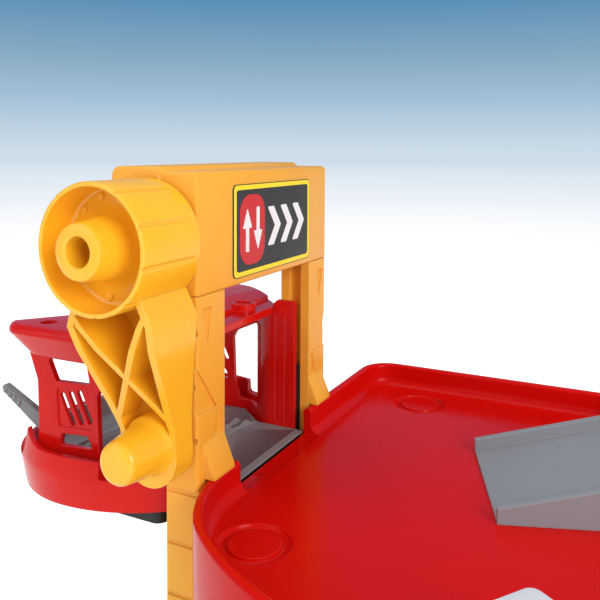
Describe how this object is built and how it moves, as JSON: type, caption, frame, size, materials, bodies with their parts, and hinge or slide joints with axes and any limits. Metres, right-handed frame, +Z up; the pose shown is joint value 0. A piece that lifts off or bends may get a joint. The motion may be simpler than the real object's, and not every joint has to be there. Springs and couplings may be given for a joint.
{
  "type": "toy parking garage with lift",
  "caption": "Toy parking garage: a crank-driven car lift on a tower raises a cabin with a tipping floor to a parking deck with ramps and a swing gate.",
  "frame": {"origin": "on the ground, at the middle of the lift tower between its two posts", "axes": "+X from the lift over the deck to the exit ramp, -Y on the crank's side, +Z up"},
  "size_m": [0.4411, 0.2288, 0.2129],
  "materials": {
    "black_plastic": "fine satin, moulded",
    "yellow_post": "semi-gloss, moulded",
    "yellow_crank": "semi-gloss, moulded, slightly translucent",
    "screw_steel": "zinc plated",
    "steel": "plain drawn rod",
    "white_plastic": "natural, moulded",
    "sign_face": "printed film",
    "red_deck": "glossy, moulded",
    "red_cabin": "glossy, moulded",
    "grey_ramp": "satin, moulded",
    "grey_light": "satin, moulded",
    "grey_floor": "satin, moulded"
  },
  "bodies": {
    "garage": {"base_plate": "black_plastic", "near_post": "yellow_post", "far_post": "yellow_post", "tower_head": "yellow_post", "head_cover": "yellow_post", "cover_screws": "screw_steel", "near_bush": "white_plastic", "far_bush": "white_plastic", "sign_plate": "sign_face", "deck": "red_deck", "column_1": "yellow_post", "column_2": "yellow_post", "column_3": "yellow_post", "column_4": "yellow_post", "saddle_ramp": "grey_ramp", "exit_ramp": "grey_ramp", "entry_ramp": "grey_ramp", "gate_pin": "grey_light"},
    "crank": {"crank": "yellow_crank", "crank_axle": "steel", "crank_screw": "screw_steel", "near_spool": "white_plastic", "far_spool": "white_plastic"},
    "lift": {"lift_tray": "red_cabin", "cabin_near_side": "red_cabin", "cabin_far_side": "red_cabin", "cabin_roof": "red_cabin", "carriage": "black_plastic", "near_shoe": "black_plastic", "far_shoe": "black_plastic", "floor_pin": "steel", "cord_anchors": "screw_steel"},
    "tipping_floor": {"tipping_floor": "grey_floor"},
    "gate": {"gate_arm": "grey_light"}
  },
  "joints": [
    {"name": "crank_turn", "type": "hinge", "parent": "garage", "child": "crank", "pos_m": [-0.0105, 0, 0.192], "axis": [0, -1, 0], "range_deg": [0, 712.1]},
    {"name": "lift_slide", "type": "slide", "parent": "garage", "child": "lift", "axis": [0, 0, 1], "range_m": [-0.08701, 0]},
    {"name": "floor_tip", "type": "hinge", "parent": "lift", "child": "tipping_floor", "pos_m": [-0.002, 0, 0.104], "axis": [0, 1, 0], "range_deg": [0, 18]},
    {"name": "gate_swing", "type": "hinge", "parent": "garage", "child": "gate", "pos_m": [0.0913, -0.092, 0.1174], "axis": [0, 0, 1], "range_deg": [-51, 60]}
  ],
  "couplings": [
    {"joint": "lift_slide", "follows": "crank_turn", "m_per_rad": -0.007}
  ]
}
